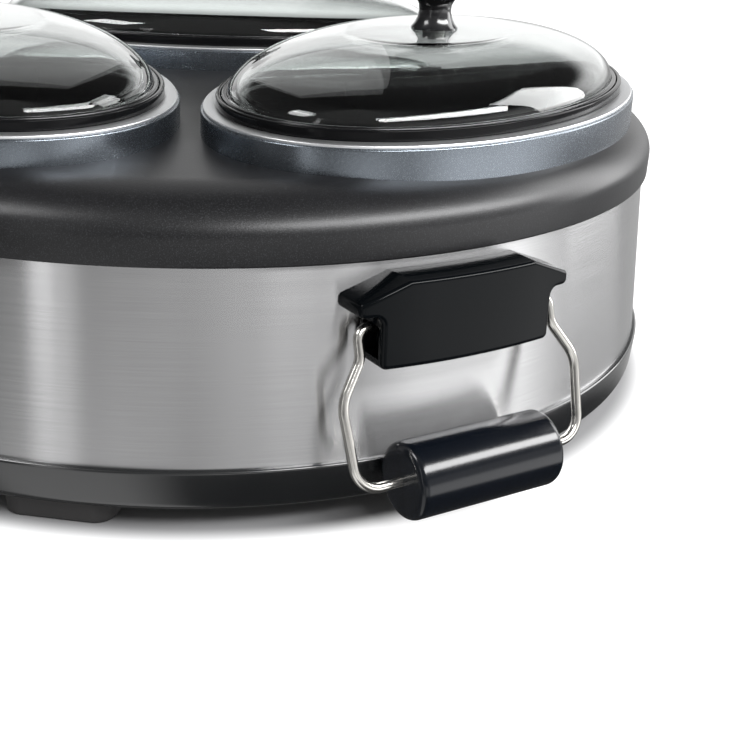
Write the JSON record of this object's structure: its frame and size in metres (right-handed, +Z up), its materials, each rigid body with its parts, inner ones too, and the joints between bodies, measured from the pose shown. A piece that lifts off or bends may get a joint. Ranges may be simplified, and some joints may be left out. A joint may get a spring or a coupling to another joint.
{
  "type": "triple slow cooker",
  "caption": "Round tabletop slow cooker with oval lift-out stoneware pots under glass lids, heat dials on the front and a swinging bail handle at each side.",
  "frame": {"origin": "on the body's axis, in the plane that the feet stand on", "axes": "+Z up, the control panel faces -Y, a handle at each end of X"},
  "size_m": [0.4726, 0.4351, 0.1787],
  "materials": {
    "gloss_black_base": "moulded, glossy",
    "zinc_fastener": "zinc plated",
    "black_rubber": "matte",
    "brushed_band": "brushed round the body",
    "charcoal_cover": "satin charcoal with a fine sparkle",
    "bright_ring": "bright rolled",
    "dull_well": "dull",
    "heater_steel": "mill finish",
    "black_glaze": "black glaze",
    "lid_steel": "polished",
    "lid_glass": "clear tempered",
    "black_knob": "moulded, glossy",
    "panel_black": "moulded, glossy",
    "shaft_steel": "turned",
    "dial_black": "satin",
    "switch_body": "moulded",
    "red_lens": "clear red",
    "bracket_black": "moulded, glossy",
    "wire_steel": "polished wire",
    "grip_black": "moulded, glossy",
    "terminal_plastic": "moulded",
    "gland_black": "moulded"
  },
  "bodies": {
    "root": {"base_pan": "gloss_black_base", "foot_front_right": "black_rubber", "foot_rear_right": "black_rubber", "foot_rear_left": "black_rubber", "foot_front_left": "black_rubber", "foot_screws": "zinc_fastener", "steel_band": "brushed_band", "top_cover": "charcoal_cover", "well_studs": "zinc_fastener", "stud_nuts": "zinc_fastener", "control_panel": "panel_black", "indicator_lenses": "red_lens", "bracket_screws": "zinc_fastener", "terminal_block": "terminal_plastic", "cord_gland": "gland_black", "handle_bracket_right": "bracket_black", "handle_bracket_left": "bracket_black", "rim_ring_front": "bright_ring", "heating_well_front": "dull_well", "heater_band_front": "heater_steel", "rim_ring_right": "bright_ring", "heating_well_right": "dull_well", "heater_band_right": "heater_steel", "rim_ring_left": "bright_ring", "heating_well_left": "dull_well", "heater_band_left": "heater_steel", "switch_left": "switch_body", "switch_middle": "switch_body", "switch_right": "switch_body"},
    "crock_front": {"crock_front": "black_glaze"},
    "lid_front": {"lid_rim_front": "lid_steel", "lid_glass_front": "lid_glass", "lid_knob_front": "black_knob", "lid_screw_front": "zinc_fastener"},
    "crock_right": {"crock_right": "black_glaze"},
    "lid_right": {"lid_rim_right": "lid_steel", "lid_glass_right": "lid_glass", "lid_knob_right": "black_knob", "lid_screw_right": "zinc_fastener"},
    "crock_left": {"crock_left": "black_glaze"},
    "lid_left": {"lid_rim_left": "lid_steel", "lid_glass_left": "lid_glass", "lid_knob_left": "black_knob", "lid_screw_left": "zinc_fastener"},
    "dial_left": {"dial_left": "dial_black", "dial_shaft_left": "shaft_steel"},
    "dial_middle": {"dial_middle": "dial_black", "dial_shaft_middle": "shaft_steel"},
    "dial_right": {"dial_right": "dial_black", "dial_shaft_right": "shaft_steel"},
    "bail_right": {"bail_right": "wire_steel"},
    "grip_right": {"grip_front_right": "grip_black", "grip_back_right": "grip_black"},
    "bail_left": {"bail_left": "wire_steel"},
    "grip_left": {"grip_front_left": "grip_black", "grip_back_left": "grip_black"}
  },
  "joints": [
    {"name": "crock_lift_front", "type": "slide", "parent": "root", "child": "crock_front", "axis": [0, 0, 1], "range_m": [0, 0.11]},
    {"name": "lid_lift_front", "type": "slide", "parent": "crock_front", "child": "lid_front", "axis": [0, 0, 1], "range_m": [0, 0.06]},
    {"name": "crock_lift_right", "type": "slide", "parent": "root", "child": "crock_right", "axis": [0, 0, 1], "range_m": [0, 0.11]},
    {"name": "lid_lift_right", "type": "slide", "parent": "crock_right", "child": "lid_right", "axis": [0, 0, 1], "range_m": [0, 0.06]},
    {"name": "crock_lift_left", "type": "slide", "parent": "root", "child": "crock_left", "axis": [0, 0, 1], "range_m": [0, 0.11]},
    {"name": "lid_lift_left", "type": "slide", "parent": "crock_left", "child": "lid_left", "axis": [0, 0, 1], "range_m": [0, 0.06]},
    {"name": "dial_turn_left", "type": "hinge", "parent": "root", "child": "dial_left", "pos_m": [-0.04814, -0.20852, 0.056], "axis": [-0.225, -0.9744, 0], "range_deg": [-180, 0]},
    {"name": "dial_turn_middle", "type": "hinge", "parent": "root", "child": "dial_middle", "pos_m": [0, -0.214, 0.056], "axis": [0, -1, 0], "range_deg": [-180, 0]},
    {"name": "dial_turn_right", "type": "hinge", "parent": "root", "child": "dial_right", "pos_m": [0.04814, -0.20852, 0.056], "axis": [0.225, -0.9744, 0], "range_deg": [-180, 0]},
    {"name": "bail_swing_right", "type": "hinge", "parent": "root", "child": "bail_right", "pos_m": [0.20485, -0.00465, 0.0752], "axis": [-0.0227, -0.9997, 0], "range_deg": [0, 101]},
    {"name": "grip_turn_right", "type": "hinge", "parent": "bail_right", "child": "grip_right", "pos_m": [0.22144, -0.00502, 0.023], "axis": [-0.0227, -0.9997, 0], "continuous": true},
    {"name": "bail_swing_left", "type": "hinge", "parent": "root", "child": "bail_left", "pos_m": [-0.20485, -0.00465, 0.0752], "axis": [-0.0227, 0.9997, 0], "range_deg": [0, 101]},
    {"name": "grip_turn_left", "type": "hinge", "parent": "bail_left", "child": "grip_left", "pos_m": [-0.22144, -0.00502, 0.023], "axis": [-0.0227, 0.9997, 0], "continuous": true}
  ]
}
